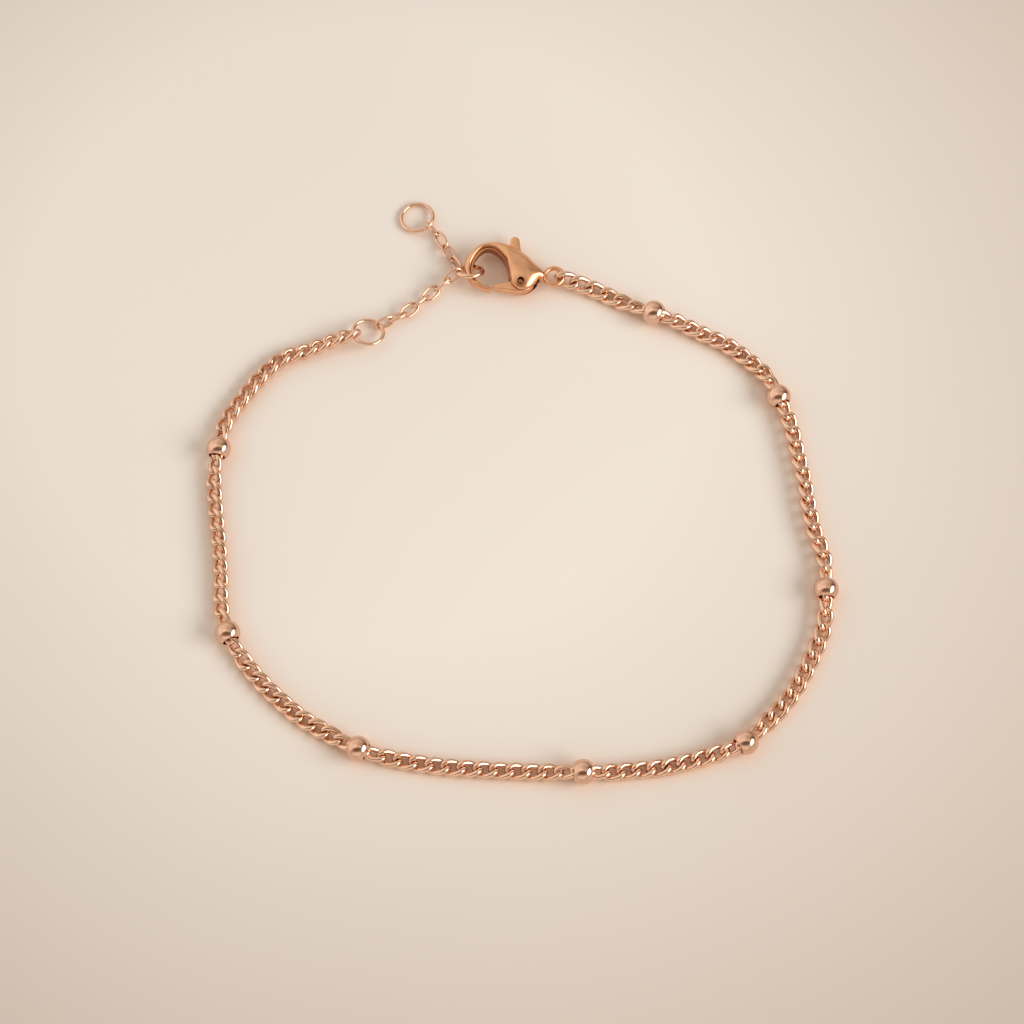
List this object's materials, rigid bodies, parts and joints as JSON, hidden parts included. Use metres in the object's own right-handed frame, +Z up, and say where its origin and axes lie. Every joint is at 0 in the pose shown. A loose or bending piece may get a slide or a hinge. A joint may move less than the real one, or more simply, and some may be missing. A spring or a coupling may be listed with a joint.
{
  "type": "satellite chain bracelet",
  "caption": "Rose gold bracelet of curb chain set with small round metal beads, lying as a closed loop, with a lobster clasp and an extender chain.",
  "frame": {"origin": "on the surface the bracelet lies on, under the middle of the whole bracelet's box", "axes": "+Z up from the surface, +X to the right and +Y away from the viewer of the picture"},
  "size_m": [0.0628, 0.0634, 0.0025],
  "materials": {
    "clasp_metal": "satin orange rose gold plating",
    "chain_metal": "polished rose gold plating",
    "bead_metal": "polished rose gold plating",
    "wire_metal": "polished rose gold plating"
  },
  "bodies": {
    "bracelet": {"clasp_body": "clasp_metal", "clasp_pin": "clasp_metal", "curb_chain_a": "chain_metal", "curb_chain_b": "chain_metal", "bead_1": "bead_metal", "bead_2": "bead_metal", "bead_3": "bead_metal", "bead_4": "bead_metal", "bead_5": "bead_metal", "bead_6": "bead_metal", "bead_7": "bead_metal", "bead_8": "bead_metal", "chain_ring": "wire_metal", "hook_ring": "wire_metal", "end_ring": "wire_metal", "extender_link_01": "wire_metal", "extender_link_02": "wire_metal", "extender_link_03": "wire_metal", "extender_link_04": "wire_metal", "extender_link_05": "wire_metal", "extender_link_06": "wire_metal", "extender_link_07": "wire_metal", "tail_link_01": "wire_metal", "tail_link_02": "wire_metal", "tail_link_03": "wire_metal", "tail_link_04": "wire_metal"},
    "lever": {"clasp_lever": "clasp_metal"}
  },
  "joints": [
    {"name": "trigger_hinge", "type": "hinge", "parent": "bracelet", "child": "lever", "pos_m": [0.00015, 0.02167, 0.00125], "axis": [0, 0, -1], "range_deg": [0, 22], "stiffness_Nm_per_rad": 0.02}
  ]
}
